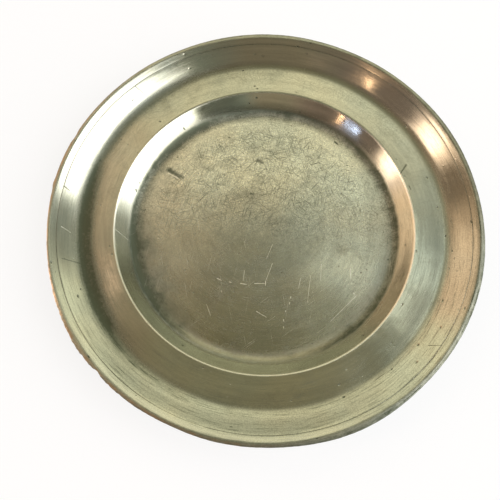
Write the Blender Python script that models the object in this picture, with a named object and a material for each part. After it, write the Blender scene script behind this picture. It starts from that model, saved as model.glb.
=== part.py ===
"""Pewter plate: a turned dish, a band round its edge and the solder that holds the band on."""

from math import atan2, ceil, radians, tan

import bmesh
import bpy
from mathutils import Matrix, Vector

# Driving dimensions, in metres
PLATE_DIAMETER = 0.240
LAND_WIDTH = 0.0016  # narrow, nearly level strip outside the lip
LAND_FALL = 0.00025  # drop of that strip on its way out
SLOPE_WIDTH = 0.0144  # plan width of the slope that climbs from the flange to the lip
SLOPE_RISE = 0.0089
FLANGE_WIDTH = 0.0188  # plan width of the flat ring between the slope and the well
FLANGE_RISE = 0.0007  # climb of that ring on its way out
BOOGE_WIDTH = 0.0085  # plan width of the steep wall round the well
WELL_DEPTH = 0.0099
WALL = 0.0020  # thickness of the dish

# Rounding of the corners
BOOGE_FILLET = 0.0045
WELL_EDGE_ROUND = 0.0006
SLOPE_FILLET = 0.0120
LIP_ROUND = 0.0025
EDGE_ROUND = 0.0007
UNDERSIDE_ROUND = 0.0010

# Lap joint between the dish and the band
BAND_WIDTH = 0.0035  # plan width from the joint line out to the lip
LEDGE_WIDTH = 0.0022  # plan width of the step that the band lies on
LEDGE_THICKNESS = 0.0009
SOLDER_LEG = 0.0008  # reach of the solder along the dish and down the band
CLEARANCE = 0.0003  # gap kept between pieces that lie against each other

# Fineness of the round surfaces
SEGMENTS = 72
ARC_STEP = radians(9)

# Corners of the upper surface, as radius and height
PLATE_RADIUS = PLATE_DIAMETER / 2
LIP_RADIUS = PLATE_RADIUS - LAND_WIDTH
FOOT_RADIUS = LIP_RADIUS - SLOPE_WIDTH
WELL_RADIUS = FOOT_RADIUS - FLANGE_WIDTH
FLOOR_CENTRE = Vector((0, WALL))
FLOOR_CORNER = Vector((WELL_RADIUS - BOOGE_WIDTH, WALL))
WELL_EDGE = FLOOR_CORNER + Vector((BOOGE_WIDTH, WELL_DEPTH))
SLOPE_FOOT = WELL_EDGE + Vector((FLANGE_WIDTH, FLANGE_RISE))
LIP = SLOPE_FOOT + Vector((SLOPE_WIDTH, SLOPE_RISE))
OUTER_EDGE = LIP + Vector((LAND_WIDTH, -LAND_FALL))

# Radii of the lap joint, and its depths measured square to the slope
JOINT_RADIUS = LIP_RADIUS - BAND_WIDTH
LEDGE_RADIUS = JOINT_RADIUS + LEDGE_WIDTH
LEDGE_DEPTH = WALL - LEDGE_THICKNESS
TONGUE_DEPTH = LEDGE_DEPTH - CLEARANCE
SOLDER_DEPTH = WALL + CLEARANCE
BAND_DEPTH = SOLDER_DEPTH + SOLDER_LEG


def under_slope(radius, depth):
    """Point at a radius, at a depth below the slope's upper surface."""
    steepness = SLOPE_RISE / SLOPE_WIDTH
    drop = depth * (1 + steepness**2) ** 0.5
    return Vector((radius, LIP.y - (LIP_RADIUS - radius) * steepness - drop))


def left_of(start, end):
    """Unit vector that points to the left of the way from start to end."""
    way = (end - start).normalized()
    return Vector((-way.y, way.x))


def wall_below(before, corner, after):
    """Corner of the underside, one wall away from a corner of the upper surface."""
    first = left_of(before, corner)
    second = left_of(corner, after)
    return corner - (first + second) * WALL / (1 + first.dot(second))


def rounded(before, corner, after, radius):
    """Points of the arc that replaces a corner, as far as its two sides have room for it."""
    side_in = corner - before
    side_out = after - corner
    turn = atan2(side_in.x * side_out.y - side_in.y * side_out.x, side_in.dot(side_out))
    half_tangent = tan(turn / 2)
    reach = min(radius * abs(half_tangent), 0.45 * side_in.length, 0.45 * side_out.length)
    start = corner - side_in.normalized() * reach
    centre = start + left_of(before, corner) * reach / half_tangent
    steps = ceil(abs(turn) / ARC_STEP)
    spoke = start - centre
    return [centre + Matrix.Rotation(turn * step / steps, 2) @ spoke for step in range(steps + 1)]


def outline(corners):
    """Points along a list of corners, each given as its place and its rounding radius."""
    points = []
    for index, (corner, radius) in enumerate(corners):
        if radius:
            before = corners[index - 1][0]
            after = corners[(index + 1) % len(corners)][0]
            points += rounded(before, corner, after, radius)
        else:
            points.append(corner)
    return points


def pewter(name, colour, roughness):
    material = bpy.data.materials.new(name)
    material.use_nodes = True
    shader = material.node_tree.nodes["Principled BSDF"]
    shader.inputs["Base Color"].default_value = (*colour, 1)
    shader.inputs["Roughness"].default_value = roughness
    shader.inputs["Metallic"].default_value = 1
    material.diffuse_color = (*colour, 1)
    return material


def turned(name, points, closed, material, parent):
    """Object made by spinning an outline once round the plate's axis."""
    bm = bmesh.new()
    verts = [bm.verts.new((point.x, 0, point.y)) for point in points]
    edges = [bm.edges.new(pair) for pair in zip(verts, verts[1:])]
    if closed:
        edges.append(bm.edges.new((verts[-1], verts[0])))
    bmesh.ops.spin(
        bm,
        geom=verts + edges,
        cent=(0, 0, 0),
        axis=(0, 0, 1),
        angle=radians(360),
        steps=SEGMENTS,
        use_merge=True,
    )
    bmesh.ops.remove_doubles(bm, verts=bm.verts, dist=CLEARANCE / 100)
    bmesh.ops.recalc_face_normals(bm, faces=bm.faces)
    mesh = bpy.data.meshes.new(name)
    bm.to_mesh(mesh)
    bm.free()
    mesh.shade_smooth()
    mesh.set_sharp_from_angle(angle=radians(30))
    mesh.materials.append(material)
    piece = bpy.data.objects.new(name, mesh)
    piece.parent = parent
    bpy.context.collection.objects.link(piece)


def dish(parent):
    """Floor, well, flange and slope in one casting, with a ledge for the band at its edge."""
    joint = under_slope(JOINT_RADIUS, 0)
    ledge_end = under_slope(LEDGE_RADIUS, WALL)
    points = outline(
        [
            (FLOOR_CENTRE, 0),
            (FLOOR_CORNER, BOOGE_FILLET),
            (WELL_EDGE, WELL_EDGE_ROUND),
            (SLOPE_FOOT, SLOPE_FILLET),
            (joint, 0),
            (under_slope(JOINT_RADIUS, LEDGE_DEPTH), 0),
            (under_slope(LEDGE_RADIUS, LEDGE_DEPTH), 0),
            (ledge_end, 0),
            (wall_below(WELL_EDGE, SLOPE_FOOT, joint), SLOPE_FILLET + WALL),
            (wall_below(FLOOR_CORNER, WELL_EDGE, SLOPE_FOOT), UNDERSIDE_ROUND),
            (wall_below(FLOOR_CENTRE, FLOOR_CORNER, WELL_EDGE), BOOGE_FILLET + WALL),
            (Vector((0, 0)), 0),
        ]
    )
    turned("dish", points, False, pewter("dish_pewter", (0.45, 0.43, 0.34), 0.38), parent)


def rim_band(parent):
    """Hoop that carries the lip: a tongue over the ledge and a thicker edge outside it."""
    inner_radius = LEDGE_RADIUS + CLEARANCE
    points = outline(
        [
            (under_slope(JOINT_RADIUS + CLEARANCE, 0), 0),
            (LIP, LIP_ROUND),
            (OUTER_EDGE, EDGE_ROUND),
            (under_slope(PLATE_RADIUS, BAND_DEPTH), EDGE_ROUND),
            (under_slope(inner_radius, BAND_DEPTH), 0),
            (under_slope(inner_radius, TONGUE_DEPTH), 0),
            (under_slope(JOINT_RADIUS + CLEARANCE, TONGUE_DEPTH), 0),
        ]
    )
    turned("rim_band", points, True, pewter("band_pewter", (0.50, 0.48, 0.38), 0.34), parent)


def rim_solder(parent):
    """Fillet of solder run round the back, in the corner between the dish and the band."""
    points = [
        under_slope(LEDGE_RADIUS, SOLDER_DEPTH),
        under_slope(LEDGE_RADIUS, SOLDER_DEPTH + SOLDER_LEG),
        under_slope(LEDGE_RADIUS - SOLDER_LEG, SOLDER_DEPTH),
    ]
    turned("rim_solder", points, True, pewter("solder", (0.40, 0.40, 0.39), 0.50), parent)


def main():
    for old in list(bpy.data.objects):
        bpy.data.objects.remove(old)
    plate = bpy.data.objects.new("plate", None)
    bpy.context.collection.objects.link(plate)
    dish(plate)
    rim_band(plate)
    rim_solder(plate)


main()
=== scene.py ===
from math import atan2, ceil, cos, pi, radians, sin, tan
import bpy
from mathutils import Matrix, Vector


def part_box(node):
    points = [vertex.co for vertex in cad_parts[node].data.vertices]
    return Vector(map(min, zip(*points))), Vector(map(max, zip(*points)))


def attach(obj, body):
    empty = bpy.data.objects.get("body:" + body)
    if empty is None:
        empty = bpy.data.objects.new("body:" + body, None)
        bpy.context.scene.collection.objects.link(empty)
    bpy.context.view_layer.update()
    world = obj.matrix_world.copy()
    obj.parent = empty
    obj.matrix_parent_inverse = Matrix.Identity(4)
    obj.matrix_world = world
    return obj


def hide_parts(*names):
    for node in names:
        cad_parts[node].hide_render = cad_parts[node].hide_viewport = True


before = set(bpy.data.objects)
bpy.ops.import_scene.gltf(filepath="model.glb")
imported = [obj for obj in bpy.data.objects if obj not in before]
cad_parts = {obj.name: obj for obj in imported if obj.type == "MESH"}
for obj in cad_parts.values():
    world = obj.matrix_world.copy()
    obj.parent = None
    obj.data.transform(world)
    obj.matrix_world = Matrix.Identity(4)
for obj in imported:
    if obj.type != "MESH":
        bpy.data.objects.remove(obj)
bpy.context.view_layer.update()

from types import SimpleNamespace

import bpy
import numpy as np
from mathutils import Matrix, Vector

# Sizes of the plate, in metres
PLATE_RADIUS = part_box("rim_band")[1].x
LAND_WIDTH = 0.0016  # narrow, nearly level strip outside the lip
LAND_FALL = 0.00025
SLOPE_WIDTH = 0.0144
SLOPE_RISE = 0.0089
FLANGE_WIDTH = 0.0188
FLANGE_RISE = 0.0007
BOOGE_WIDTH = 0.0087  # plan width of the steep wall round the well
BOOGE_SAG = 0.00010  # hollow of that wall
WELL_DEPTH = 0.0099
WALL = 0.0020
BAND_WIDTH = 0.0035
LEDGE_WIDTH = 0.0022
LEDGE_THICKNESS = 0.0009
SOLDER_LEG = 0.0008
CLEARANCE = 0.0003
SLIT = 0.00010  # width of the joint line

# Roundings
BOOGE_FILLET = 0.0064
KNEE_ROUND = 0.0300
WELL_EDGE_ROUND = 0.0006
SLOPE_FILLET = 0.0120
LIP_ROUND = 0.0025
EDGE_ROUND = 0.0007
UNDERSIDE_ROUND = 0.0010
JOINT_ROUND = 0.0001

# Corners of the turned outline, as radius and height
LIP_RADIUS = PLATE_RADIUS - LAND_WIDTH
FOOT_RADIUS = LIP_RADIUS - SLOPE_WIDTH
WELL_RADIUS = FOOT_RADIUS - FLANGE_WIDTH
FLOOR_CENTRE = Vector((0, WALL))
FLOOR_CORNER = Vector((WELL_RADIUS - BOOGE_WIDTH, WALL))
WELL_EDGE = FLOOR_CORNER + Vector((BOOGE_WIDTH, WELL_DEPTH))
SLOPE_FOOT = WELL_EDGE + Vector((FLANGE_WIDTH, FLANGE_RISE))
LIP = SLOPE_FOOT + Vector((SLOPE_WIDTH, SLOPE_RISE))
OUTER_EDGE = LIP + Vector((LAND_WIDTH, -LAND_FALL))
JOINT_RADIUS = LIP_RADIUS - BAND_WIDTH
LEDGE_RADIUS = JOINT_RADIUS + LEDGE_WIDTH
LEDGE_DEPTH = WALL - LEDGE_THICKNESS
TONGUE_DEPTH = LEDGE_DEPTH - CLEARANCE
SOLDER_DEPTH = WALL + CLEARANCE
BAND_DEPTH = SOLDER_DEPTH + SOLDER_LEG

# Fineness and waviness of the turned meshes
SEGMENTS = 512
ARC_STEP = radians(5)
UPPER_STEP = 0.0022
BAND_STEP = UPPER_STEP / 4
UNDER_STEP = 0.0060
HOOP_RADIUS = 0.050  # path that the outline is swept along
MERGE_DISTANCE = 1e-6
WAVE_HEIGHT = 0.0006
WAVES_PER_METRE = 28.0
WAVE_SEED = 1.0

# Wear of the rim: angles and half-widths in degrees round the plate, reaches in metres
EDGE_SPREAD = 0.0005
EDGE_WEAR = (
    (297, 22, 0.0010),
    (94, 28, 0.0005),
    (30, 18, 0.0004),
    (345, 30, 0.0005),
    (221, 9, 0.0005),
    (191, 26, -0.0009),
    (143, 18, -0.0003),
    (251, 12, -0.0004),
    (229, 1.6, -0.0009),
    (160, 2.5, -0.0005),
    (175, 2.2, 0.0005),
)
RAGGED_CENTRE = 218
RAGGED_SPAN = 36
RAGGED_REACH = 0.0003
RAGGED_ELSEWHERE = 0.25
RAGGED_WAVES = ((1.9, 0.3), (3.3, 1.1), (5.1, 2.4), (0.9, 4.0))  # radians per degree and phase
BURR_HEIGHT = 0.0004
WORN_JOINT = ((341, 12), (112, 10), (254, 22))
JOINT_CLOSING = 0.8 * SLIT

# Single marks in the pewter, in millimetres: start, end and half-width
DARK_STROKES = (
    ((-59.6, 32.6), (-51.0, 28.4), 2.8),
    ((80.4, 42.6), (77.1, 36.9), 1.0),
    ((82.0, 29.2), (83.0, 27.0), 0.7),
    ((-83.6, 78.2), (-77.2, 74.7), 0.4),
    ((-114.1, 9.7), (-111.5, 8.2), 0.7),
    ((-107.9, -32.1), (-99.2, -32.9), 0.5),
    ((90.2, -63.3), (96.0, -63.2), 0.4),
    ((-6.5, 43.5), (-4.0, 42.3), 2.2),
    ((-25.7, 57.9), (-25.0, 57.7), 1.0),
    ((-30.6, 51.4), (-30.0, 51.2), 0.9),
    ((-53.6, 59.6), (-53.0, 59.3), 0.9),
    ((-67.4, 59.7), (-66.8, 59.5), 1.0),
    ((-9.4, 21.4), (-8.0, 21.0), 1.2),
    ((2.8, 77.0), (3.4, 76.8), 0.9),
    ((-77.3, 17.2), (-77.0, 16.2), 1.0),
    ((39.4, 60.0), (41.2, 58.6), 1.2),
    ((46.2, 28.5), (46.8, 28.1), 0.9),
)
BRIGHT_STROKES = (
    ((-24.1, -32.4), (-21.7, -33.3), 0.38),
    ((-17.2, -33.8), (-16.2, -34.2), 0.38),
    ((-10.8, -34.2), (-7.4, -34.5), 0.45),
    ((-9.2, -26.4), (-9.4, -32.5), 0.19),
    ((-2.9, -33.6), (2.7, -33.1), 0.3),
    ((3.2, -31.9), (3.4, -34.2), 0.38),
    ((-21.3, -39.4), (-21.0, -40.0), 0.45),
    ((5.7, -9.5), (2.8, -18.3), 0.19),
    ((6.4, -21.0), (3.2, -31.9), 0.19),
    ((18.0, -39.6), (17.8, -40.6), 0.45),
    ((17.6, -43.0), (17.3, -44.0), 0.38),
    ((15.6, -47.9), (15.4, -48.5), 0.38),
    ((14.8, -52.9), (14.7, -53.8), 0.38),
    ((15.0, -57.0), (15.1, -57.6), 0.45),
    ((-28.7, -47.8), (-25.9, -53.8), 0.19),
    ((-0.6, -49.5), (5.2, -52.4), 0.22),
    ((28.5, -26.3), (27.5, -42.1), 0.19),
    ((34.4, -19.3), (34.2, -28.8), 0.19),
    ((22.9, -28.5), (22.0, -34.5), 0.19),
    ((51.0, -20.3), (51.2, -26.2), 0.3),
    ((53.1, -34.7), (53.5, -35.3), 0.45),
    ((55.3, -35.3), (40.7, -51.8), 0.19),
    ((-83.7, -10.8), (-77.3, -14.3), 0.22),
    ((-111.8, -13.9), (-107.1, -16.1), 0.22),
    ((-60.2, 30.8), (-53.5, 27.6), 0.6),
)
STROKE_TAPER = 0.45  # share of its width that a stroke loses towards its end

# Rings of the finish: pairs of radius in millimetres and strength, with straight lines between them
RAMP_REACH = 125  # millimetres that a ramp covers
TURNED_SHARE = ((0, 0.25), (60, 0.35), (79, 0.4), (86, 0.5), (101, 0.5), (105, 1), (120, 1))
FLOOR_SHARE = ((0, 1), (75.5, 1), (79, 0.1), (86, 0.6), (101, 0.6), (106, 0.2), (117, 0.2), (120, 0.9))
FINE_SHARE = ((0, 1), (76.5, 1), (79, 0.2), (99, 0.3), (104, 1), (120, 1))
WELL_TARNISH = (
    (0, 0.02),
    (59, 0.03),
    (66, 0.12),
    (70, 0.28),
    (73.2, 0.50),
    (75.8, 0.76),
    (76.9, 0.88),
    (77.5, 0.90),
    (78.3, 0.48),
    (79.2, 0.06),
    (80.5, 0),
)
EDGE_TARNISH = (
    (117.0, 0),
    (117.6, 0.05),
    (118.3, 0.55),
    (118.8, 0.35),
    (119.3, 0.38),
    (120, 0.62),
    (125, 0.70),
)
LIP_STRIP = ((116.2, 0), (117.2, 0.34), (118.4, 0.30), (119, 0))
FOOT_PATCH = ((91, 0), (95, 0.20), (98.5, 0.60), (104, 0.66), (106.5, 0.25), (108.5, 0))
FOOT_LINE = ((98.5, 0), (102, 0.21), (105, 0.25), (107.5, 0))
STAINED_FLANGE = ((85.8, 0), (88, 0.10), (99, 0.15), (103, 0.1), (105, 0))
DAMP_FLOOR = ((57, 0), (65, 0.20), (71, 0.38), (75.5, 0.38), (77.8, 0.24), (79, 0))
GREY_BAND = ((107.5, 0), (110, 0.16), (113.5, 0.20), (114.6, 0))
# painted shadow along the far edge of the floor and at the far well edge
FAR_FLOOR_SHADE = ((71, 0), (74.5, 0.32), (78.5, 0.45), (80, 0.35), (82, 0))
FAR_WELL_EDGE_SHADE = ((84.9, 0), (85.3, 0.75), (85.9, 0.6), (86.4, 0))
JOINT_LINE = ((114.4, 0), (114.9, 0.36), (115.4, 0))
# painted shade on the well wall, on some sides only
WALL_SHADE = ((78.5, 0), (79.5, 0.32), (84, 0.32), (84.8, 0))
# olive tone on the near floor: speckled tarnish and painted shade
NEAR_FLOOR_SHADE_RING = ((35, 0), (55, 0.25), (70, 0.50), (75, 0.50), (77.5, 0.35), (79.5, 0))
# painted light on the near well wall
NEAR_WALL_LIGHT = ((78, 0), (79.5, 1), (84.5, 1), (85.2, 0))
GRAINY_FLANGE = ((86.5, 0), (88, 0.40), (100, 0.40), (103, 0))
# worn bare well edge, painted brighter on the near side as a glint
WORN_EDGE_GLINT = ((84.5, 0), (84.9, 1), (85.3, 1), (85.7, 0))
# painted highlight along the lip on the near side
LIP_HIGHLIGHT = ((115.2, 0), (116, 0.30), (117.6, 0.35), (118.2, 0))
SATIN = (
    (0, 0.24),
    (69, 0.26),
    (73, 0.27),
    (75.6, 0.34),
    (76.9, 0.34),
    (78.6, 0.15),
    (80, 0.10),
    (86, 0.12),
    (106, 0.12),
    (112, 0.11),
    (117.5, 0.13),
    (120, 0.36),
)
NEAR_FOOT = ((71, 0), (74.5, 0.12), (78, 0.16), (80, 0))

# Sides of the plate, as ways out from its axis; the near side is towards the camera
LEFT = (-1, -0.05, 0)
RIGHT = (0.97, -0.26, 0)
FAR = (0, 1, 0)
NEAR = (0, -1, 0)
NEAR_RIGHT = (0.707, -0.707, 0)
ACROSS = (1, 0, 0)
WORN_RIGHT = (0.94, 0.34, 0)
PATCH_SIDE = (-0.966, -0.259, 0)
STAINED_SIDE = (-0.62, 0.78, 0)
DAMP_SIDE = (-0.866, -0.50, 0)
GREY_SIDE = (-0.20, -0.98, 0)
# way of the painted shade on the left well wall
WALL_SHADE_LEFT = (-0.985, -0.17, 0)
CLEANED_SIDE = (0.4, -0.92, 0)
# way of the painted light on the near well wall
NEAR_WALL_LIGHT_SIDE = (-0.10, -0.99, 0)
# ways of the painted warm reflection and its glint on the left outer edge
WARM_REFLECTION_SIDE = (-0.87, -0.50, 0)
WARM_GLINT_SIDE = (-0.95, -0.31, 0)

# Dark patch on the left of the flange: narrower inside this radius, by this much per millimetre
PATCH_RADIUS = 100.8
PATCH_NARROWING = 0.018

# Colours of the metal, and of the painted shade, light, highlights and warm reflection on it
WARM_PEWTER = (0.540, 0.515, 0.395, 1)
COOL_PEWTER = (0.495, 0.500, 0.405, 1)
# lighter pewter painted as light on the near well wall
NEAR_WALL_LIT_PEWTER = (0.665, 0.675, 0.550, 1)
# olive tone for the near floor, darker as painted shade
OLIVE_SHADE_PEWTER = (0.35, 0.335, 0.19, 1)
# dark colour for tarnish and for painted shade
TARNISH_AND_SHADE_COLOUR = (0.042, 0.056, 0.031, 1)
# painted warm reflection and its brighter painted glint on the left outer edge
WARM_REFLECTION_BROWN = (0.40, 0.30, 0.19, 1)
WARM_REFLECTION_GLINT = (0.92, 0.70, 0.49, 1)
# bare metal, also used for the painted highlights on the well edge and the lip
BARE_METAL_AND_GLINT = (0.97, 0.94, 0.79, 1)
DARK_SOLDER = (0.30, 0.30, 0.28, 1)
LIGHT_SOLDER = (0.46, 0.46, 0.44, 1)

# Grain and lines of the pewter, sizes in millimetres and turns in degrees
MILLIMETRES = 1000
PEWTER_SEED = 2.0
SEED_SHIFT = (37, 11, 5)
GRAIN_SIZE = 1.3
FINE_GRAIN_SIZE = 0.55
MOTTLE_SIZE = 4.5
STAIN_SIZE = 15.0
CLOUD_SIZE = 42.0
SWAY_SIZE = 30
SWAY_REACH = (3, 3, 0)
HAIR_TURNS = (8, 37, 66, 99, 128, 161)
HAIRLINES = {"length": 17, "width": 0.25, "low": 0.675, "high": 0.745}
LIGHT_TURNS = (75, 98, 140)
LIGHT_LINES = {"length": 18, "width": 0.35, "low": 0.77, "high": 0.86}
FLOOR_PIT_CELL = 3.2
PIT_REACH = 0.22  # largest pit, as a share of its cell
SMALLEST_PIT = 0.35

# How dark, light or rough each mark makes the metal
PIT_DARKNESS = 0.75
HAIR_DARKNESS = 0.7
STAIN_DARKNESS = 0.25
GOUGE_DARKNESS = 0.70
DARKEST = 0.90
LINE_LIGHTNESS = 0.25
SCRATCH_LIGHTNESS = 0.75
# strength of the worn well edge's bare metal and its painted glint
EDGE_LIGHTNESS = 0.95
GRAIN_ROUGHNESS = 0.10
LINE_ROUGHNESS = 0.10
DARK_ROUGHNESS = 0.32
NEAR_SMOOTHNESS = 0.09  # most of this comes off the roughness of the floor's near half
LIGHT_ROUGHNESS = 0.30
TURNED_SHEEN = 0.6  # how far reflections are drawn out in one direction

# Heights of the relief, in millimetres
BROAD_LINE_HEIGHT = 0.010
THIN_LINE_HEIGHT = 0.004
GRAIN_HEIGHT = 0.006
MOTTLE_HEIGHT = 0.012
BAND_HEIGHT = 0.05
PIT_DEPTH = 0.08
HAIR_DEPTH = 0.005
SOLDER_LUMPS = 0.15

# Room that the plate mirrors: levels of light and hues
DOME_RADIUS = 3
FAR_LEVEL = 1.17
LEFT_LEVEL = 1.5
RIGHT_LEVEL = 0.55
BEHIND_LEVEL = 0.27
WINDOW_LEVEL = 4.0
WARM_LAMP_LEVEL = 4.2
CEILING_SPOT = (-0.2270, 0.2510, 0.9410)  # way to a small warm patch of the ceiling
CEILING_SPOT_LEVEL = 0.85
CEILING_SPOT_TINT = 0.7
CEILING_HUE = (1.0, 0.93, 0.60, 1)
FAR_HUE = (1.0, 0.965, 0.73, 1)
LEFT_HUE = (1.0, 0.73, 0.52, 1)
RIGHT_PALE_HUE = (1.0, 1.0, 0.78, 1)
RIGHT_COOL_HUE = (0.90, 0.98, 0.90, 1)
BEHIND_HUE = (1.0, 0.86, 0.64, 1)
BEHIND_RIGHT_HUE = (0.92, 1.0, 0.84, 1)
BEHIND_LEFT_HUE = (1.0, 0.77, 0.65, 1)
WINDOW_HUE = (1.0, 1.0, 1.05, 1)
WARM_LAMP_HUE = (1.0, 0.775, 0.65, 1)
CEILING_SPOT_HUE = (1.0, 0.70, 0.54, 1)

# Small lamps: name, azimuth, elevation, width and height in degrees, radiance and colour
LAMP_DISTANCE = 1.6
LAMPS = (
    ("dim_lamp", 248, 58, 4, 16, 0.18, (1, 0.62, 0.48)),
    ("small_lamp", 220, 60, 1.0, 5, 20.0, (1, 0.62, 0.40)),
    ("pale_lamp", 53, 70, 9, 8, 0.8, (0.9, 1, 0.95)),
    ("second_small_lamp", 230, 25, 2, 1.5, 12.0, (1, 0.62, 0.40)),
    ("cool_lamp", 222.5, 21.5, 10, 1.0, 11.0, (0.48, 0.60, 1.0)),
)
WHITE = (1, 1, 1, 1)
WORLD_LIGHT = 0.6
FLOOR_SIZE = 8
FLOOR_GAP = 0.0003
FLOOR_PAINT = (0.9, 0.9, 0.9, 1)
FLOOR_WHITENESS = 0.82  # share of plain white in what the camera sees of the floor

# Camera: place from the middle of the well's mouth in metres, then small turns in radians
CAMERA_PLACE = Vector((0, -0.11406, 0.29693))
CAMERA_PAN = -0.021854
CAMERA_TILT = -0.051347
CAMERA_ROLL = 0.075693
SENSOR_WIDTH = 36
FOCAL_SHARE = 560 / 500  # focal length as a share of the picture's width


# Outline of the plate
def under_slope(radius, depth):
    """Point at a radius, at a depth below the slope's upper surface."""
    steepness = SLOPE_RISE / SLOPE_WIDTH
    drop = depth * (1 + steepness**2) ** 0.5
    return Vector((radius, LIP.y - (LIP_RADIUS - radius) * steepness - drop))


def left_of(start, end):
    """Unit vector that points to the left of the way from start to end."""
    way = (end - start).normalized()
    return Vector((-way.y, way.x))


def wall_below(before, corner, after):
    """Corner of the underside, one wall away from a corner of the upper surface."""
    first = left_of(before, corner)
    second = left_of(corner, after)
    return corner - (first + second) * WALL / (1 + first.dot(second))


def rounded(before, corner, after, radius):
    """Arc that replaces a corner, as far as its two sides have room for it."""
    side_in = corner - before
    side_out = after - corner
    turn = atan2(side_in.x * side_out.y - side_in.y * side_out.x, side_in.dot(side_out))
    half_tangent = tan(turn / 2)
    reach = min(radius * abs(half_tangent), 0.45 * side_in.length, 0.45 * side_out.length)
    start = corner - side_in.normalized() * reach
    centre = start + left_of(before, corner) * reach / half_tangent
    pieces = ceil(abs(turn) / ARC_STEP)
    spoke = start - centre
    return [centre + Matrix.Rotation(turn * part / pieces, 2) @ spoke for part in range(pieces + 1)]


def outline(corners, closed):
    """Points along a list of corners, each with its rounding and the spacing on the side after it."""
    points = []
    count = len(corners)
    for index, (corner, radius, spacing) in enumerate(corners):
        before = corners[index - 1][0]
        after, after_radius, _ = corners[(index + 1) % count]
        arc = rounded(before, corner, after, radius) if radius else [corner]
        points += arc
        last = index == count - 1
        if last and not closed:
            break
        beyond = corners[(index + 2) % count][0]
        target = rounded(corner, after, beyond, after_radius)[0] if after_radius else after
        span = target - arc[-1]
        pieces = max(1, ceil(span.length / spacing))
        points += [arc[-1] + span * part / pieces for part in range(1, pieces)]
    return points


def dish_points():
    joint = under_slope(JOINT_RADIUS, 0)
    knee = (FLOOR_CORNER + WELL_EDGE) / 2 - left_of(FLOOR_CORNER, WELL_EDGE) * BOOGE_SAG
    return outline(
        [
            (FLOOR_CENTRE, 0, UPPER_STEP),
            (FLOOR_CORNER, BOOGE_FILLET, UPPER_STEP),
            (knee, KNEE_ROUND, UPPER_STEP),
            (WELL_EDGE, WELL_EDGE_ROUND, UPPER_STEP),
            (SLOPE_FOOT, SLOPE_FILLET, UPPER_STEP),
            (joint, JOINT_ROUND, UPPER_STEP),
            (under_slope(JOINT_RADIUS, LEDGE_DEPTH), 0, UNDER_STEP),
            (under_slope(LEDGE_RADIUS, LEDGE_DEPTH), 0, UNDER_STEP),
            (under_slope(LEDGE_RADIUS, WALL), 0, UNDER_STEP),
            (wall_below(WELL_EDGE, SLOPE_FOOT, joint), SLOPE_FILLET + WALL, UNDER_STEP),
            (wall_below(knee, WELL_EDGE, SLOPE_FOOT), UNDERSIDE_ROUND, UNDER_STEP),
            (wall_below(FLOOR_CORNER, knee, WELL_EDGE), KNEE_ROUND + WALL, UNDER_STEP),
            (wall_below(FLOOR_CENTRE, FLOOR_CORNER, knee), BOOGE_FILLET + WALL, UNDER_STEP),
            (Vector((0, 0)), 0, UNDER_STEP),
        ],
        False,
    )


def band_points():
    inner_radius = LEDGE_RADIUS + CLEARANCE
    tongue_radius = JOINT_RADIUS + SLIT
    return outline(
        [
            (under_slope(tongue_radius, 0), JOINT_ROUND, BAND_STEP),
            (LIP, LIP_ROUND, BAND_STEP),
            (OUTER_EDGE, EDGE_ROUND, BAND_STEP),
            (under_slope(PLATE_RADIUS, BAND_DEPTH), EDGE_ROUND, UNDER_STEP),
            (under_slope(inner_radius, BAND_DEPTH), JOINT_ROUND, UNDER_STEP),
            (under_slope(inner_radius, TONGUE_DEPTH), 0, UNDER_STEP),
            (under_slope(tongue_radius, TONGUE_DEPTH), 0, UNDER_STEP),
        ],
        True,
    )


def solder_points():
    return [
        under_slope(LEDGE_RADIUS, SOLDER_DEPTH),
        under_slope(LEDGE_RADIUS, SOLDER_DEPTH + SOLDER_LEG),
        under_slope(LEDGE_RADIUS - SOLDER_LEG, SOLDER_DEPTH),
    ]


# Node trees
def node(tree, kind, values=None, **settings):
    """Node with its settings, and with each input given as a constant or linked to a socket."""
    made = tree.nodes.new(kind)
    for key, value in settings.items():
        setattr(made, key, value)
    for key, value in (values or {}).items():
        if isinstance(value, bpy.types.NodeSocket):
            tree.links.new(value, made.inputs[key])
        else:
            made.inputs[key].default_value = value
    return made


def new_material(name):
    """Material and its node tree."""
    material = bpy.data.materials.new(name)
    material.use_nodes = True
    return material, material.node_tree


def sockets(tree, inputs, outputs):
    """Give a tree its named sockets, each with its kind, and hand back the inputs."""
    for way, kinds in (("INPUT", inputs), ("OUTPUT", outputs)):
        for name, kind in kinds.items():
            tree.interface.new_socket(name=name, in_out=way, socket_type="NodeSocket" + kind)
    return node(tree, "NodeGroupInput").outputs


def math(tree, operation, *terms):
    return node(tree, "ShaderNodeMath", dict(enumerate(terms)), operation=operation).outputs[0]


def vector(tree, operation, *terms):
    made = node(tree, "ShaderNodeVectorMath", dict(enumerate(terms)), operation=operation)
    return made.outputs["Value" if operation in ("LENGTH", "DOT_PRODUCT") else "Vector"]


def chain(tree, operation, terms):
    """One operation carried through all terms, from the first to the last."""
    result = terms[0]
    for term in terms[1:]:
        result = math(tree, operation, result, term)
    return result


def total_of(tree, *terms):
    return chain(tree, "ADD", terms)


def product_of(tree, *terms):
    return chain(tree, "MULTIPLY", terms)


def highest_of(tree, *terms):
    return chain(tree, "MAXIMUM", terms)


def rest_of(tree, share):
    """What a share leaves of 1."""
    return math(tree, "SUBTRACT", 1.0, share)


def step(tree, value, low, high, start=0.0, end=1.0):
    """Smooth change from one value to another as an input passes from low to high."""
    return node(
        tree,
        "ShaderNodeMapRange",
        {"Value": value, "From Min": low, "From Max": high, "To Min": start, "To Max": end},
        interpolation_type="SMOOTHSTEP",
        clamp=False,
    ).outputs[0]


def blend(tree, share, first, second):
    made = node(tree, "ShaderNodeMix", {0: share, 6: first, 7: second}, data_type="RGBA")
    return made.outputs[2]


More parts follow.
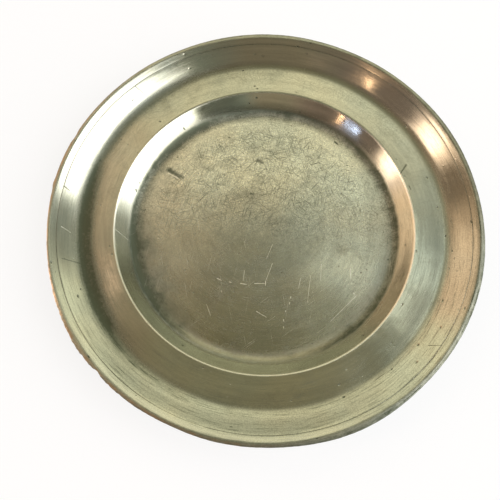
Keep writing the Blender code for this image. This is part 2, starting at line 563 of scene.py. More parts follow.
def noise(tree, place, size, seed, detail=2.0, roughness=0.5):
    """Noise about 0.5 with a grain of the given size."""
    shift = tuple(seed * share * size for share in SEED_SHIFT)
    made = node(
        tree,
        "ShaderNodeTexNoise",
        {
            "Vector": vector(tree, "ADD", place, shift),
            "Scale": 1 / size,
            "Detail": detail,
            "Roughness": roughness,
        },
    )
    return made.outputs[0]


# Turned pieces
def swept_outline(tree, given):
    """Outline carried once round a hoop, with its seam and its poles closed."""
    outline_curve = node(tree, "GeometryNodeMeshToCurve", {"Mesh": given["Outline"]})
    hoop = node(
        tree,
        "GeometryNodeCurvePrimitiveCircle",
        {"Resolution": given["Segments"], "Radius": given["Hoop Radius"]},
        mode="RADIUS",
    )
    swept = node(
        tree,
        "GeometryNodeCurveToMesh",
        {"Curve": hoop.outputs["Curve"], "Profile Curve": outline_curve.outputs["Curve"]},
    )
    merged = node(
        tree,
        "GeometryNodeMergeByDistance",
        {"Geometry": swept.outputs["Mesh"], "Distance": MERGE_DISTANCE},
    )
    return merged.outputs["Geometry"]


def wave_offset(tree, given):
    """Small rise and fall of the surface, fading out towards the face that the plate stands on."""
    place = node(tree, "GeometryNodeInputPosition").outputs[0]
    waves = node(
        tree,
        "ShaderNodeTexNoise",
        {"Vector": place, "W": given["Seed"], "Scale": given["Waves per Metre"], "Detail": 1.0},
        noise_dimensions="4D",
    )
    swing = math(tree, "SUBTRACT", waves.outputs["Fac"], 0.5)
    height = node(tree, "ShaderNodeSeparateXYZ", {0: place}).outputs["Z"]
    seat = node(tree, "ShaderNodeMapRange", {"Value": height, "From Max": given["Seat Height"]})
    lift = product_of(tree, swing, given["Wave Height"], seat.outputs[0])
    return node(tree, "ShaderNodeCombineXYZ", {"Z": lift}).outputs[0]


def turning_tree():
    """Geometry tree that sweeps an outline round the axis and gives it the waviness of hand work."""
    tree = bpy.data.node_groups.new("turning", "GeometryNodeTree")
    given = sockets(
        tree,
        {
            "Outline": "Geometry",
            "Segments": "Int",
            "Hoop Radius": "Float",
            "Wave Height": "Float",
            "Waves per Metre": "Float",
            "Seat Height": "Float",
            "Seed": "Float",
            "Material": "Material",
        },
        {"Piece": "Geometry"},
    )
    swept = swept_outline(tree, given)
    offset = wave_offset(tree, given)
    waved = node(tree, "GeometryNodeSetPosition", {"Geometry": swept, "Offset": offset})
    smooth = node(tree, "GeometryNodeSetShadeSmooth", {"Geometry": waved.outputs["Geometry"]})
    real = node(tree, "GeometryNodeRealizeInstances", {"Geometry": smooth.outputs["Geometry"]})
    clad = node(
        tree,
        "GeometryNodeSetMaterial",
        {"Geometry": real.outputs["Geometry"], "Material": given["Material"]},
    )
    node(tree, "NodeGroupOutput", {"Piece": clad.outputs["Geometry"]})
    return tree


def turned(name, tree, points, closed, material):
    """Plain mesh object from the turning tree, fed with one outline."""
    count = len(points)
    edges = [(index, index + 1) for index in range(count - 1)]
    if closed:
        edges.append((count - 1, 0))
    drawing = bpy.data.meshes.new(name + "_outline")
    drawing.from_pydata([(point.x - HOOP_RADIUS, -point.y, 0) for point in points], edges, [])
    piece = bpy.data.objects.new(name, drawing)
    bpy.context.scene.collection.objects.link(piece)
    modifier = piece.modifiers.new("turning", "NODES")
    modifier.node_group = tree
    sizes = {
        "Segments": SEGMENTS,
        "Hoop Radius": HOOP_RADIUS,
        "Wave Height": WAVE_HEIGHT,
        "Waves per Metre": WAVES_PER_METRE,
        "Seat Height": WALL,
        "Seed": WAVE_SEED,
        "Material": material,
    }
    for item in tree.interface.items_tree:
        if item.in_out == "INPUT" and item.name in sizes:
            modifier[item.identifier] = sizes[item.name]
    evaluated = piece.evaluated_get(bpy.context.evaluated_depsgraph_get())
    mesh = bpy.data.meshes.new_from_object(evaluated)
    piece.modifiers.remove(modifier)
    piece.data = mesh
    mesh.name = name
    bpy.data.meshes.remove(drawing)
    return piece


# Wear of the rim
def bump_at(angles, centre, half_width):
    """1 at an angle round the plate, falling smoothly to 0 at the half-width; all in degrees."""
    gap = np.abs((angles - centre + 180) % 360 - 180)
    return np.where(gap < half_width, 0.5 + 0.5 * np.cos(pi * gap / half_width), 0)


def edge_shift(angles):
    """How far the outer edge is spread, worn back or left ragged at each angle, in metres."""
    outward = np.full(len(angles), EDGE_SPREAD)
    for centre, half_width, reach in EDGE_WEAR:
        outward += reach * bump_at(angles, centre, half_width)
    ragged = sum(np.sin(angles * pace + phase) for pace, phase in RAGGED_WAVES) / len(RAGGED_WAVES)
    ragged_share = RAGGED_ELSEWHERE + bump_at(angles, RAGGED_CENTRE, RAGGED_SPAN)
    return outward + RAGGED_REACH * ragged * ragged_share


def worn_rim(band):
    """Push the outer edge in and out, raise a burr on one side and close the joint where it is worn."""
    mesh = band.data
    places = np.empty(len(mesh.vertices) * 3)
    mesh.vertices.foreach_get("co", places)
    places = places.reshape(-1, 3)
    radii = np.hypot(places[:, 0], places[:, 1])
    angles = np.degrees(np.arctan2(places[:, 1], places[:, 0])) % 360
    outer = np.clip((radii - LIP_RADIUS) / LAND_WIDTH, 0, 1)
    moved = radii + edge_shift(angles) * outer
    worn = sum(bump_at(angles, centre, half_width) for centre, half_width in WORN_JOINT)
    inner = np.clip((JOINT_RADIUS + 3 * SLIT - radii) / (2 * SLIT), 0, 1)
    moved -= JOINT_CLOSING * worn * inner
    places[:, 2] += BURR_HEIGHT * outer * bump_at(angles, RAGGED_CENTRE, RAGGED_SPAN)
    places[:, :2] *= (moved / radii)[:, None]
    mesh.vertices.foreach_set("co", places.ravel())
    mesh.update()


# Parts of the pewter finish
def ring(tree, at, stops, *shares):
    """Strength by the distance from the axis, from pairs of millimetres and strength, times shares."""
    reach_share = math(tree, "DIVIDE", at.radius, RAMP_REACH)
    ramp = node(tree, "ShaderNodeValToRGB", {0: reach_share})
    elements = ramp.color_ramp.elements
    elements.remove(elements[1])
    for reach, value in stops:
        element = elements.new(reach / RAMP_REACH)
        element.color = (value, value, value, 1)
    elements.remove(elements[0])
    return product_of(tree, ramp.outputs[0], *shares)


def side(tree, way, direction, low, high, start=0.0, end=1.0):
    """Smooth change round the plate, by how much a way out from the axis leans to a direction."""
    return step(tree, vector(tree, "DOT_PRODUCT", way, direction), low, high, start, end)


def stroke_group():
    """Shader group that gives 1 along a straight stroke between two points and 0 away from it."""
    group = bpy.data.node_groups.new("stroke", "ShaderNodeTree")
    given = sockets(
        group,
        {"Place": "Vector", "Start": "Vector", "End": "Vector", "Half Width": "Float"},
        {"Mask": "Float"},
    )
    length = vector(group, "SUBTRACT", given["End"], given["Start"])
    offset = vector(group, "SUBTRACT", given["Place"], given["Start"])
    along = vector(group, "DOT_PRODUCT", offset, length)
    whole = vector(group, "DOT_PRODUCT", length, length)
    share = math(group, "MINIMUM", math(group, "DIVIDE", along, whole), 1.0)
    share = math(group, "MAXIMUM", share, 0.0)
    nearest = node(group, "ShaderNodeVectorMath", {0: length, "Scale": share}, operation="SCALE")
    gap = vector(group, "LENGTH", vector(group, "SUBTRACT", offset, nearest.outputs[0]))
    taper = rest_of(group, math(group, "MULTIPLY", share, STROKE_TAPER))
    reach = math(group, "MULTIPLY", given["Half Width"], taper)
    node(group, "NodeGroupOutput", {"Mask": step(group, gap, reach, 0.0)})
    return group


def strokes(tree, group, place, marks):
    """Mask of a list of strokes, each with its start, its end and its half-width in millimetres."""
    mask = 0.0
    for start, end, half_width in marks:
        values = {"Place": place, "Start": (*start, 0), "End": (*end, 0), "Half Width": half_width}
        made = node(tree, "ShaderNodeGroup", values, node_tree=group)
        mask = highest_of(tree, mask, made.outputs[0])
    return mask


def pits(tree, place, size, seed, share):
    """Round pits scattered one to a cell, of mixed sizes, in a share of the cells."""
    shift = (seed * SEED_SHIFT[0] * size, 0, 0)
    cells = node(
        tree,
        "ShaderNodeTexVoronoi",
        {"Vector": vector(tree, "ADD", place, shift), "Scale": 1 / size},
    )
    pick = node(tree, "ShaderNodeSeparateColor", {0: cells.outputs["Color"]}).outputs
    chosen = step(tree, pick[0], 1 - share - 0.01, 1 - share)
    reach = step(tree, pick[1], 0.0, 1.0, PIT_REACH * SMALLEST_PIT, PIT_REACH)
    return product_of(tree, chosen, step(tree, cells.outputs["Distance"], reach, 0.0))


def fine_lines(tree, place, turn, seed, length, width, low, high):
    """Thin straight lines in one direction, at random places."""
    rotated = node(
        tree,
        "ShaderNodeVectorRotate",
        {"Vector": place, "Angle": radians(turn)},
        rotation_type="Z_AXIS",
    )
    squeezed = vector(tree, "MULTIPLY", rotated.outputs[0], (1 / length, 1 / width, 0))
    return step(tree, noise(tree, squeezed, 1.0, seed, 0.0), low, high)


def crossed_lines(tree, place, turns, seed, shape):
    """Thin lines in several directions, each with a seed of its own."""
    lines = 0.0
    for shift, turn in enumerate(turns):
        lines = highest_of(tree, lines, fine_lines(tree, place, turn, seed + shift, **shape))
    return lines


def object_millimetres(tree):
    metres = node(tree, "ShaderNodeTexCoord").outputs["Object"]
    return vector(tree, "MULTIPLY", metres, (MILLIMETRES,) * 3)


def surface_places(tree):
    """Places on the plate that the parts of the finish share."""
    at = SimpleNamespace()
    at.place = object_millimetres(tree)
    at.flat = vector(tree, "MULTIPLY", at.place, (1, 1, 0))
    at.radius = vector(tree, "LENGTH", at.flat)
    at.way = vector(tree, "NORMALIZE", at.flat)
    at.upright_radius = node(tree, "ShaderNodeCombineXYZ", {"Z": at.radius}).outputs[0]
    return at


def turned_place(tree, at, round_pace, across_pace):
    """Place for patterns that run round the plate, with its pace round and across."""
    around = vector(tree, "MULTIPLY", at.way, (round_pace, round_pace, 0))
    across = vector(tree, "MULTIPLY", at.upright_radius, (0, 0, across_pace))
    return vector(tree, "ADD", around, across)


def turning_marks(tree, at, seed):
    """Marks of the turner's tool: long round the plate, fine across."""
    at.broad_lines = noise(tree, turned_place(tree, at, 5, 0.75), 1.0, seed)
    at.thin_lines = noise(tree, turned_place(tree, at, 9, 2.2), 1.0, seed + 1)
    at.bands = noise(tree, turned_place(tree, at, 2, 0.17), 1.0, seed + 5, 1.0)
    at.turned_share = ring(tree, at, TURNED_SHARE)


def grain_and_clouds(tree, at, seed):
    at.grain = noise(tree, at.place, GRAIN_SIZE, seed + 2, 3.0, 0.65)
    at.mottle = noise(tree, at.place, MOTTLE_SIZE, seed + 3, 3.0, 0.6)
    at.cloud = noise(tree, at.place, CLOUD_SIZE, seed + 4, 3.0, 0.5)
    at.floor_share = ring(tree, at, FLOOR_SHARE)


def tarnish_rings(tree, at):
    """Dark rings round the floor, strongest on its left and right, and along the outer edge."""
    at.leftward = vector(tree, "DOT_PRODUCT", at.way, LEFT)
    at.left = step(tree, at.leftward, 0.3, 0.95)
    at.right = side(tree, at.way, RIGHT, 0.30, 0.95)
    at.top = side(tree, at.way, FAR, 0.2, 0.9)
    ring_share = total_of(
        tree,
        0.12,
        product_of(tree, at.left, 0.74),
        product_of(tree, at.right, 0.80),
        product_of(tree, at.top, 0.28),
    )
    well_ring = ring(tree, at, WELL_TARNISH, ring_share)
    rubbed_edge = highest_of(tree, product_of(tree, at.left, 0.4), product_of(tree, at.top, 0.45))
    edge_ring = ring(tree, at, EDGE_TARNISH, rest_of(tree, rubbed_edge))
    worn_right = side(tree, at.way, WORN_RIGHT, 0.55, 0.92)
    edge_ring = total_of(tree, edge_ring, ring(tree, at, LIP_STRIP, worn_right))
    patchy = total_of(tree, product_of(tree, at.mottle, 0.6), product_of(tree, at.grain, 0.4))
    uneven = step(tree, patchy, 0.36, 0.62, 0.86, 1.12)
    return product_of(tree, total_of(tree, well_ring, edge_ring), uneven)


def foot_tarnish(tree, at):
    """Dark patch on the left of the flange, narrower inwards, and a line round the slope's foot."""
    narrowing = product_of(tree, math(tree, "SUBTRACT", PATCH_RADIUS, at.radius), PATCH_NARROWING)
    leaning = vector(tree, "DOT_PRODUCT", at.way, PATCH_SIDE)
    patch_share = step(tree, math(tree, "SUBTRACT", leaning, narrowing), 0.75, 0.97, 0.12, 1.42)
    patch = ring(tree, at, FOOT_PATCH, patch_share)
    line = ring(tree, at, FOOT_LINE, step(tree, at.leftward, 0.2, 0.8, 1.0, 2.6))
    speckle = step(tree, at.grain, 0.35, 0.65, 0.92, 1.06)
    return product_of(tree, highest_of(tree, patch, line), speckle)


def weak_stains(tree, at):
    """Stains on the far left of the flange, the near left of the floor and the slope's near side."""
    stained_side = side(tree, at.way, STAINED_SIDE, 0.55, 0.95)
    stained = ring(tree, at, STAINED_FLANGE, stained_side)
    damp_side = side(tree, at.way, DAMP_SIDE, 0.75, 0.97)
    damp_mottle = step(tree, at.mottle, 0.36, 0.64, 0.85, 1.1)
    damp = ring(tree, at, DAMP_FLOOR, damp_side, damp_mottle)
    at.grey_side = side(tree, at.way, GREY_SIDE, 0.65, 0.95)
    grey = ring(tree, at, GREY_BAND, at.grey_side)
    return total_of(tree, stained, damp, grey)


def dark_lines(tree, at):
    """Painted shade along the far edges of floor and well, and the dark joint line round the slope."""
    far_side = side(tree, at.way, FAR, 0.3, 0.8)
    # painted shade along the far edges, on the far side only
    far_shade = ring(tree, at, FAR_FLOOR_SHADE + FAR_WELL_EDGE_SHADE, far_side)
    joint_line = ring(tree, at, JOINT_LINE, rest_of(tree, at.grey_side))
    return total_of(tree, far_shade, joint_line)


def shaded_well_wall(tree, at):
    """Painted shade on stretches of the well wall, on the left, the right and the near right."""
    shade_left = side(tree, at.way, WALL_SHADE_LEFT, 0.93, 0.99)
    near_right = side(tree, at.way, NEAR_RIGHT, 0.80, 0.98)
    shade_right = product_of(tree, at.right, 0.38)
    shade_share = highest_of(tree, shade_left, shade_right, product_of(tree, near_right, 0.75))
    return ring(tree, at, WALL_SHADE, shade_share)


def olive_near_shade(tree, at):
    """Share of the olive tone on the near part of the floor: speckled tarnish and painted shade."""
    speckle = step(tree, at.grain, 0.35, 0.65, 0.8, 1.2)
    return ring(tree, at, NEAR_FLOOR_SHADE_RING, product_of(tree, at.near, speckle))


def pitting(tree, at, seed):
    """Pits on the floor, and pits drawn out round the plate outside it."""
    rim_pits = pits(tree, turned_place(tree, at, 17, 0.33), 1.0, seed + 6, 0.42)
    floor_pits = pits(tree, at.flat, FLOOR_PIT_CELL, seed + 7, 0.45)
    on_floor = product_of(tree, floor_pits, at.floor_only)
    on_rim = product_of(tree, rim_pits, rest_of(tree, at.floor_only))
    return total_of(tree, on_floor, on_rim)


def hairlines(tree, at, seed):
    """Dark hairlines in several directions, mostly on the far half of the floor."""
    sway = node(tree, "ShaderNodeTexNoise", {"Vector": at.flat, "Scale": 1 / SWAY_SIZE, "Detail": 1.0})
    bending = vector(tree, "MULTIPLY", sway.outputs["Color"], SWAY_REACH)
    bent = vector(tree, "ADD", at.flat, bending)
    lines = crossed_lines(tree, bent, HAIR_TURNS, seed + 8, HAIRLINES)
    on_floor = product_of(tree, lines, at.floor_share)
    inner_share = step(tree, at.radius, 58, 72, 1.0, 0.4)
    return product_of(tree, on_floor, product_of(tree, at.upper, inner_share))


def pale_lines(tree, at, seed):
    """Faint pale lines on the floor."""
    lines = crossed_lines(tree, at.flat, LIGHT_TURNS, seed + 21, LIGHT_LINES)
    return product_of(tree, lines, at.floor_only)


def floor_stain(tree, at, seed):
    blots = noise(tree, at.flat, STAIN_SIZE, seed + 28, 4.0, 0.6)
    return product_of(tree, step(tree, blots, 0.50, 0.72), at.floor_share)


def brightness(tree, at, seed):
    """Fine grain, painted light over the floor (lighter towards its sides and far side, darker on its
    near side) and streaks round the plate, about 1.
    """
    fine = noise(tree, at.place, FINE_GRAIN_SIZE, seed + 30, 1.0)
    fine = step(tree, fine, 0.34, 0.66, -0.27, 0.31)
    rim_share = product_of(tree, rest_of(tree, at.floor_only), product_of(tree, at.rubbed, 1.2))
    fine_side = total_of(tree, rim_share, product_of(tree, at.floor_only, at.upper))
    fine_share = ring(tree, at, FINE_SHARE, fine_side)
    flange_share = ring(tree, at, GRAINY_FLANGE, at.top)
    grainy = total_of(tree, product_of(tree, fine, fine_share), product_of(tree, fine, flange_share))
    # painted light: the floor lighter towards its sides and its far side
    sideways = math(tree, "ABSOLUTE", vector(tree, "DOT_PRODUCT", at.flat, ACROSS))
    painted_light_sides = product_of(tree, step(tree, sideways, 10, 55, -0.04, 0.17), at.floor_only)
    painted_light_far = product_of(tree, side(tree, at.flat, FAR, -5, 40, -0.09, 0.18), at.floor_only)
    level = total_of(tree, total_of(tree, 1.0, grainy), total_of(tree, painted_light_sides, painted_light_far))
    broad_streak = step(tree, at.broad_lines, 0.36, 0.64, 0.46, 0.54)
    band_streak = step(tree, at.bands, 0.35, 0.65, 0.45, 0.55)
    return product_of(tree, level, total_of(tree, broad_streak, band_streak))


def clean_pewter(tree, at, seed):
    """Colour without tarnish: cloudy, with painted light on the near well wall and a speckled olive
    painted shade on the near floor.
    """
    tone = step(tree, at.cloud, 0.35, 0.65)
    clean = blend(tree, tone, WARM_PEWTER, COOL_PEWTER)
    # painted light on the near well wall
    lit_share = ring(tree, at, NEAR_WALL_LIGHT, side(tree, at.way, NEAR_WALL_LIGHT_SIDE, 0.0, 0.7))
    clean = blend(tree, lit_share, clean, NEAR_WALL_LIT_PEWTER)
    clean = blend(tree, olive_near_shade(tree, at), clean, OLIVE_SHADE_PEWTER)
    return vector(tree, "MULTIPLY", clean, brightness(tree, at, seed))


def darkness(tree, at, group, seed):
    """Share of the tarnish and shade colour: tarnish, painted shade on the well wall and along the far
    edges, pits, turning marks, hairlines, stains and gouges.
    """
    tarnish_and_shade = total_of(
        tree,
        tarnish_rings(tree, at),
        foot_tarnish(tree, at),
        weak_stains(tree, at),
        dark_lines(tree, at),
        shaded_well_wall(tree, at),
    )
    marks = product_of(tree, step(tree, at.thin_lines, 0.52, 0.72), at.turned_share, at.rubbed)
    dark = total_of(
        tree,
        tarnish_and_shade,
        product_of(tree, at.pitted, PIT_DARKNESS),
        marks,
        product_of(tree, at.hairs, HAIR_DARKNESS),
        product_of(tree, floor_stain(tree, at, seed), STAIN_DARKNESS),
        product_of(tree, strokes(tree, group, at.flat, DARK_STROKES), GOUGE_DARKNESS),
    )
    return math(tree, "MINIMUM", dark, DARKEST)


def bare_metal_and_glints(tree, at, group, seed):
    """Share of bare bright metal and painted highlight: pale lines, scratches, the worn well edge
    painted brighter towards the near side, and a painted highlight on part of the lip.
    """
    lines = product_of(tree, pale_lines(tree, at, seed), LINE_LIGHTNESS)
    scratches = product_of(tree, strokes(tree, group, at.flat, BRIGHT_STROKES), SCRATCH_LIGHTNESS)
    # painted glint: the worn well edge brighter towards the near side
    near_glint_share = side(tree, at.way, NEAR, -0.85, -0.35, 0.3, 1.0)
    edge = ring(tree, at, WORN_EDGE_GLINT, product_of(tree, near_glint_share, EDGE_LIGHTNESS))
    # painted highlight along the lip's near side
    lip = ring(tree, at, LIP_HIGHLIGHT, at.grey_side)
    return highest_of(tree, lines, scratches, edge, lip)


def painted_warm_edge(tree, at, colour):
    """Painted warm reflection on the left outer edge, in brown blotches, with a brighter painted glint
    along one stretch.
    """
    reflection_side = side(tree, at.way, WARM_REFLECTION_SIDE, 0.2, 0.85)
    blotches = step(tree, at.mottle, 0.35, 0.65, 0.2, 0.9)
    reflection_share = product_of(tree, step(tree, at.radius, 118.7, 119.3), reflection_side, blotches)
    glint_side = side(tree, at.way, WARM_GLINT_SIDE, 0.95, 0.99)
    reflection_colour = blend(tree, glint_side, WARM_REFLECTION_BROWN, WARM_REFLECTION_GLINT)
    return blend(tree, reflection_share, colour, reflection_colour)


def satin_roughness(tree, at, dark, light):
    """Roughness: satin on the floor, smoother on walls and flange, duller where it is marked."""
    return total_of(
        tree,
        ring(tree, at, SATIN),
        product_of(tree, math(tree, "SUBTRACT", at.grain, 0.5), GRAIN_ROUGHNESS),
        product_of(tree, math(tree, "SUBTRACT", at.thin_lines, 0.5), LINE_ROUGHNESS),
        product_of(tree, dark, DARK_ROUGHNESS),
        product_of(tree, math(tree, "SUBTRACT", at.upper, 1.0), at.floor_only, NEAR_SMOOTHNESS),
        product_of(tree, light, LIGHT_ROUGHNESS),
        ring(tree, at, NEAR_FOOT, at.near),
    )


def surface_relief(tree, at):
    """Height of turning marks, grain, pits and hairlines, in millimetres."""
    return total_of(
        tree,
        product_of(tree, at.broad_lines, at.turned_share, BROAD_LINE_HEIGHT),
        product_of(tree, at.thin_lines, at.turned_share, THIN_LINE_HEIGHT),
        product_of(tree, at.grain, at.floor_share, GRAIN_HEIGHT),
        product_of(tree, at.mottle, at.floor_share, MOTTLE_HEIGHT),
        product_of(tree, at.bands, at.turned_share, BAND_HEIGHT),
        product_of(tree, at.pitted, -PIT_DEPTH),
        product_of(tree, at.hairs, -HAIR_DEPTH),
    )


# Finishes
def metal_surface(tree, colour, roughness, relief):
    """Link a metal's colour, its roughness and its relief in millimetres to the shader."""
    shader = tree.nodes["Principled BSDF"]
    shader.inputs["Metallic"].default_value = 1
    bump = node(tree, "ShaderNodeBump", {"Strength": 1.0, "Distance": 1 / MILLIMETRES, "Height": relief})
    tree.links.new(colour, shader.inputs["Base Color"])
    tree.links.new(roughness, shader.inputs["Roughness"])
    tree.links.new(bump.outputs[0], shader.inputs["Normal"])
    return shader


def worn_pewter(group):
    """Satin pewter with turning marks, grain, damage, tarnish in the hollows and bare edges, and with
    painted light, shade, highlights and a warm reflection in places.
    """
    material, tree = new_material("pewter")
    at = surface_places(tree)
    turning_marks(tree, at, PEWTER_SEED)
    grain_and_clouds(tree, at, PEWTER_SEED)
    at.floor_only = step(tree, at.radius, 79.5, 75.5)
    at.upper = side(tree, at.flat, FAR, -20, 15, 0.25, 1.0)
    at.near = side(tree, at.way, NEAR, 0.45, 0.85)
    at.rubbed = side(tree, at.way, CLEANED_SIDE, -0.3, 0.7, 0.08, 0.40)
    at.pitted = pitting(tree, at, PEWTER_SEED)
    at.hairs = hairlines(tree, at, PEWTER_SEED)
    dark = darkness(tree, at, group, PEWTER_SEED)
    light = bare_metal_and_glints(tree, at, group, PEWTER_SEED)
    colour = blend(tree, dark, clean_pewter(tree, at, PEWTER_SEED), TARNISH_AND_SHADE_COLOUR)
    # painted warm reflection on the left outer edge
    colour = painted_warm_edge(tree, at, colour)
    colour = blend(tree, light, colour, BARE_METAL_AND_GLINT)
    roughness = satin_roughness(tree, at, dark, light)
    shader = metal_surface(tree, colour, roughness, surface_relief(tree, at))
    grain_way = node(tree, "ShaderNodeMix", {0: at.floor_only, 4: at.way, 5: ACROSS}, data_type="VECTOR")
    shader.inputs["Anisotropic"].default_value = TURNED_SHEEN
    tree.links.new(grain_way.outputs[1], shader.inputs["Tangent"])
    return material


def dull_solder():
    """Grey solder with a lumpy, uneven surface."""
    material, tree = new_material("solder")
    place = object_millimetres(tree)
    lumps = noise(tree, place, 1.6, 3.0, 3.0)
    stain = noise(tree, place, 7.0, 4.0, 3.0)
    colour = blend(tree, step(tree, stain, 0.35, 0.65), DARK_SOLDER, LIGHT_SOLDER)
    roughness = step(tree, lumps, 0.3, 0.7, 0.42, 0.62)
    metal_surface(tree, colour, roughness, product_of(tree, lumps, SOLDER_LUMPS))
    return material


# Room light; its bounds are parts of a unit vector from the plate, X right, Y far and Z up
def far_room(tree, part):
    """Bright far side of the room, with a dim ceiling before it."""
    aside = step(tree, part["X"], 0.35, 0.65, 0.0, 0.18)
    aside = math(tree, "SUBTRACT", aside, step(tree, part["X"], 0.0, -0.40, 0.0, 0.10))
    overhead = step(tree, part["Y"], -0.06, 0.06, 0.26, 0.32)
    far = step(tree, math(tree, "SUBTRACT", part["Y"], aside), 0.285, 0.53, overhead, FAR_LEVEL)
    low_far = step(tree, part["X"], 0.20, 0.45, 0.55, 0.30)
    return product_of(tree, far, step(tree, part["Z"], 0.38, 0.60, low_far, 1.0))


def left_room(tree, part):
    edge = step(tree, part["Z"], 0.10, 0.65, -0.40, 0.27)
    beside = step(tree, math(tree, "SUBTRACT", part["Y"], edge), -0.12, 0.12)
    return product_of(tree, step(tree, part["X"], -0.35, -0.70, 0.0, LEFT_LEVEL), beside)


def right_room(tree, part):
    beside = step(tree, part["Y"], -0.30, 0.05)
    lower = step(tree, part["Z"], 0.20, 0.50, 0.65, 1.0)
    return product_of(tree, step(tree, part["X"], 0.30, 0.70, 0.0, RIGHT_LEVEL), beside, lower)


def near_room(tree, part, behind):
    """Dim room behind the camera, a little brighter in its low middle and darker on its low right."""
    low = step(tree, part["X"], -0.45, -0.15, 0.0, 0.12)
    low = total_of(tree, low, step(tree, part["X"], 0.15, 0.40, 0.0, -0.20))
    low = product_of(tree, low, step(tree, part["Z"], 0.90, 0.40))
    return product_of(tree, behind, total_of(tree, low, BEHIND_LEVEL))


def room_hue(tree, part, behind):
    """Pale yellow ahead, warm on the left, cool on the right, brown and green behind."""
    hue = blend(tree, step(tree, part["Y"], 0.12, 0.42), CEILING_HUE, FAR_HUE)
    left_start = step(tree, part["Z"], 0.55, 0.90, -0.50, -0.19)
    to_left = step(tree, math(tree, "SUBTRACT", part["X"], left_start), 0.08, -0.10)
    hue = blend(tree, to_left, hue, LEFT_HUE)
    high_share = step(tree, part["Z"], 0.70, 0.85)
    cool_share = highest_of(tree, high_share, step(tree, part["Y"], 0.60, 0.40))
    right_hue = blend(tree, cool_share, RIGHT_PALE_HUE, RIGHT_COOL_HUE)
    hue = blend(tree, step(tree, part["X"], 0.06, 0.34), hue, right_hue)
    behind_hue = blend(tree, step(tree, part["X"], 0.12, 0.30), BEHIND_HUE, BEHIND_RIGHT_HUE)
    behind_hue = blend(tree, step(tree, part["X"], -0.10, -0.35), behind_hue, BEHIND_LEFT_HUE)
    return blend(tree, behind, hue, behind_hue)


def window(tree, part):
    """Mask of the window on the right, with soft sides; azimuths in radians."""
    azimuth = math(tree, "ARCTAN2", part["Y"], part["X"])
    far_end = step(tree, part["Z"], 0.15, 0.65, 0.30, 0.45)
    far_side = step(tree, math(tree, "SUBTRACT", azimuth, far_end), 0.12, -0.08)
    near_side = step(tree, azimuth, -0.82, -0.68)
    return product_of(tree, far_side, near_side, step(tree, part["Z"], 0.890, 0.850))


def warm_lamp(tree, part):
    """Mask of the warm lamp on the left, with soft sides; azimuths in radians from the left."""
    opposite_y = product_of(tree, part["Y"], -1)
    azimuth = math(tree, "ARCTAN2", opposite_y, product_of(tree, part["X"], -1))
    middle = step(tree, part["Z"], 0.25, 0.85, 0.24, 0.04)
    gap = math(tree, "ABSOLUTE", math(tree, "SUBTRACT", azimuth, middle))
    return product_of(tree, step(tree, gap, 0.23, 0.03), step(tree, part["Z"], 0.90, 0.84))


def room_light():
    """Glowing material of the dome."""
    material, tree = new_material("surround")
    tree.nodes.clear()
    way = vector(tree, "NORMALIZE", node(tree, "ShaderNodeTexCoord").outputs["Object"])
    part = node(tree, "ShaderNodeSeparateXYZ", {0: way}).outputs
    behind = step(tree, part["Y"], 0.12, -0.12)
    sides = highest_of(tree, left_room(tree, part), right_room(tree, part))
    level = highest_of(tree, far_room(tree, part), near_room(tree, part, behind), sides)
    hue = room_hue(tree, part, behind)
    for mask, strength, colour in (
        (window(tree, part), WINDOW_LEVEL, WINDOW_HUE),
        (warm_lamp(tree, part), WARM_LAMP_LEVEL, WARM_LAMP_HUE),
    ):
        level = highest_of(tree, level, product_of(tree, mask, strength))
        hue = blend(tree, mask, hue, colour)
    spot = side(tree, way, CEILING_SPOT, 0.9987, 0.9999)
    level = total_of(tree, level, product_of(tree, spot, CEILING_SPOT_LEVEL))
    hue = blend(tree, product_of(tree, spot, CEILING_SPOT_TINT), hue, CEILING_SPOT_HUE)
    glow = node(tree, "ShaderNodeEmission", {"Color": hue, "Strength": level})
    node(tree, "ShaderNodeOutputMaterial", {"Surface": glow.outputs[0]})
    return material


def surround():
    """Dome of soft, uneven room light, seen only in reflections and by the floor."""
    bpy.ops.mesh.primitive_uv_sphere_add(segments=48, ring_count=24, radius=DOME_RADIUS)
    dome = bpy.context.object
    dome.name = "surround"
    dome.visible_camera = False
    dome.visible_shadow = False
    dome.data.materials.append(room_light())
    return dome


# Lamps, floor and camera
def towards(azimuth, elevation):
    """Unit vector from the plate; azimuth 0 is +X, 90 is +Y."""
    level = cos(radians(elevation))
    height = sin(radians(elevation))
    return Vector((cos(radians(azimuth)) * level, sin(radians(azimuth)) * level, height))


def lamp(name, azimuth, elevation, width, height, radiance, colour):
    """Soft panel that faces the plate; width and height are angles seen from the plate."""
    light = bpy.data.lights.new(name, "AREA")
    light.shape = "RECTANGLE"
    light.size = 2 * LAMP_DISTANCE * tan(radians(width) / 2)
    light.size_y = 2 * LAMP_DISTANCE * tan(radians(height) / 2)
    light.energy = 4 * radiance * light.size * light.size_y
    light.color = colour
    stand = bpy.data.objects.new(name, light)
    away = towards(azimuth, elevation)
    stand.location = away * LAMP_DISTANCE
    stand.rotation_euler = away.to_track_quat("Z", "Y").to_euler()
    stand.visible_camera = False
    bpy.context.scene.collection.objects.link(stand)


def background_rays(tree):
    """1 for rays that should see the plain white background."""
    rays = node(tree, "ShaderNodeLightPath").outputs
    return highest_of(tree, rays["Is Camera Ray"], rays["Is Glossy Ray"], rays["Is Transmission Ray"])


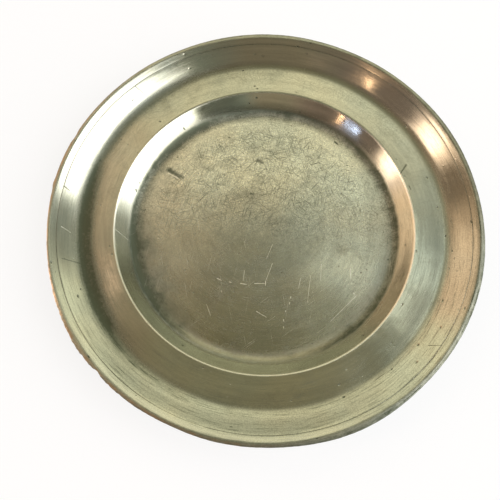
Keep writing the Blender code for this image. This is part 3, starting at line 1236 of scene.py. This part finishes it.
def floor():
    """Plain pale floor, nearly white to the camera, that keeps the plate's shadow."""
    bpy.ops.mesh.primitive_plane_add(size=FLOOR_SIZE, location=(0, 0, -FLOOR_GAP))
    plane = bpy.context.object
    plane.name = "floor"
    material, tree = new_material("floor")
    tree.nodes.clear()
    paint = node(tree, "ShaderNodeBsdfDiffuse", {"Color": FLOOR_PAINT})
    white = node(tree, "ShaderNodeEmission", {"Color": WHITE, "Strength": 1.0})
    share = product_of(tree, background_rays(tree), FLOOR_WHITENESS)
    mixed = node(tree, "ShaderNodeMixShader", {0: share, 1: paint.outputs[0], 2: white.outputs[0]})
    node(tree, "ShaderNodeOutputMaterial", {"Surface": mixed.outputs[0]})
    plane.data.materials.append(material)
    return plane


def white_world():
    """White to the camera and in reflections, dimmer as a light."""
    world = bpy.data.worlds.new("world")
    bpy.context.scene.world = world
    world.use_nodes = True
    tree = world.node_tree
    tree.nodes.clear()
    seen = background_rays(tree)
    level = node(tree, "ShaderNodeMapRange", {"Value": seen, "To Min": WORLD_LIGHT, "To Max": 1.0})
    back = node(tree, "ShaderNodeBackground", {"Color": WHITE, "Strength": level.outputs[0]})
    node(tree, "ShaderNodeOutputWorld", {"Surface": back.outputs[0]})


def camera():
    """Camera above the near side, turned a little about its own axis."""
    aim = Vector((0, 0, WELL_EDGE.y))
    place = CAMERA_PLACE + aim
    ahead = (aim - place).normalized()
    right = Vector((1, 0, 0))
    up = right.cross(ahead)
    ahead = (ahead + right * tan(CAMERA_PAN) + up * tan(CAMERA_TILT)).normalized()
    right = ahead.cross(up).normalized()
    up = right.cross(ahead)
    turned_right = right * cos(CAMERA_ROLL) + up * sin(CAMERA_ROLL)
    turned_up = up * cos(CAMERA_ROLL) - right * sin(CAMERA_ROLL)
    data = bpy.data.cameras.new("camera")
    data.sensor_width = SENSOR_WIDTH
    data.lens = SENSOR_WIDTH * FOCAL_SHARE
    data.clip_start = 0.01
    eye = bpy.data.objects.new("camera", data)
    turn = Matrix((turned_right, turned_up, -ahead)).transposed()
    eye.matrix_world = Matrix.Translation(place) @ turn.to_4x4()
    bpy.context.scene.collection.objects.link(eye)
    bpy.context.scene.camera = eye


def plate():
    """The three visible pieces, each in the place of its solid."""
    tree = turning_tree()
    pewter = worn_pewter(stroke_group())
    dish = turned("plate_dish", tree, dish_points(), False, pewter)
    band = turned("plate_rim_band", tree, band_points(), True, pewter)
    solder = turned("plate_solder", tree, solder_points(), True, dull_solder())
    worn_rim(band)
    for piece, cad_node, slot in (
        (dish, "dish", "dish_pewter"),
        (band, "rim_band", "band_pewter"),
        (solder, "rim_solder", "solder"),
    ):
        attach(piece, "root")
        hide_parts(cad_node)


def main():
    plate()
    floor()
    surround()
    for settings in LAMPS:
        lamp(*settings)
    white_world()
    camera()
    bpy.context.scene.view_settings.view_transform = "Standard"


main()
